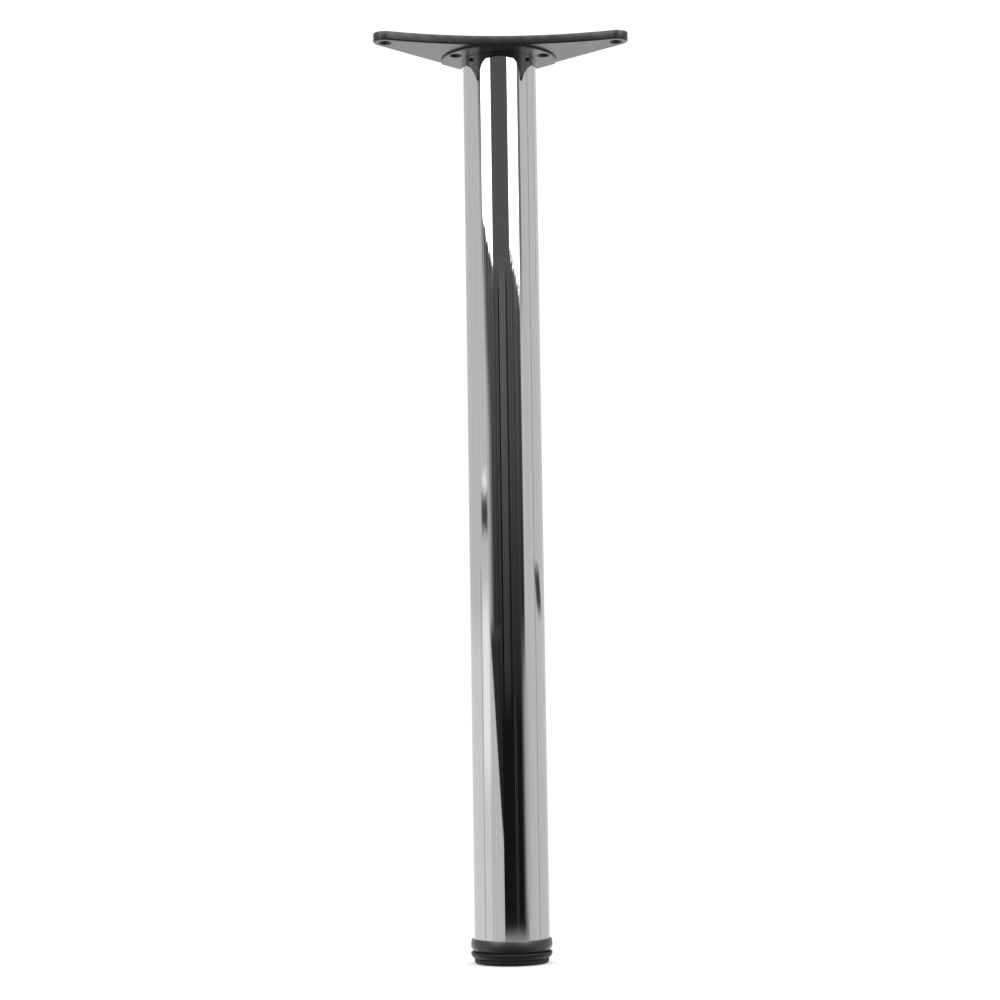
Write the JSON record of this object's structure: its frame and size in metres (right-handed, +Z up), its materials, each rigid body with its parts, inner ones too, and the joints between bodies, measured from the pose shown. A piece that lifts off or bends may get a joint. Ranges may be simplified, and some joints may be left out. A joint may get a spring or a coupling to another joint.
{
  "type": "height adjustable table leg",
  "caption": "Round chromed table leg with a black corner mounting plate at the top and a black screw foot that adjusts the height.",
  "frame": {"origin": "on the tube's axis, on the floor under the sole, with the foot wound right in", "axes": "+Z up along the tube; +X along the plate's longest side; the plate's hollow front edge faces -Y"},
  "size_m": [0.2016, 0.0954, 0.73],
  "materials": {
    "plate_black": "satin",
    "tube_chrome": "polished",
    "collar_plastic": "satin",
    "foot_plastic": "satin",
    "sole_rubber": "matte",
    "insert_plastic": "matte",
    "zinc_steel": "satin"
  },
  "bodies": {
    "leg": {"mounting_plate": "plate_black", "fixing_bolt": "zinc_steel", "leg_tube": "tube_chrome", "top_insert": "insert_plastic", "insert_nut": "zinc_steel", "end_plug": "collar_plastic", "collar_nut": "zinc_steel"},
    "stem": {"foot_stem": "zinc_steel"},
    "foot": {"foot_body": "foot_plastic", "foot_sole": "sole_rubber"}
  },
  "joints": [
    {"name": "foot_height", "type": "slide", "parent": "leg", "child": "stem", "axis": [0, 0, -1], "range_m": [0, 0.02]},
    {"name": "foot_turn", "type": "hinge", "parent": "stem", "child": "foot", "pos_m": [0, 0, 0], "axis": [0, 0, -1], "range_deg": [0, 4800]}
  ],
  "couplings": [
    {"joint": "foot_height", "follows": "foot_turn", "m_per_rad": 0.00023873}
  ]
}
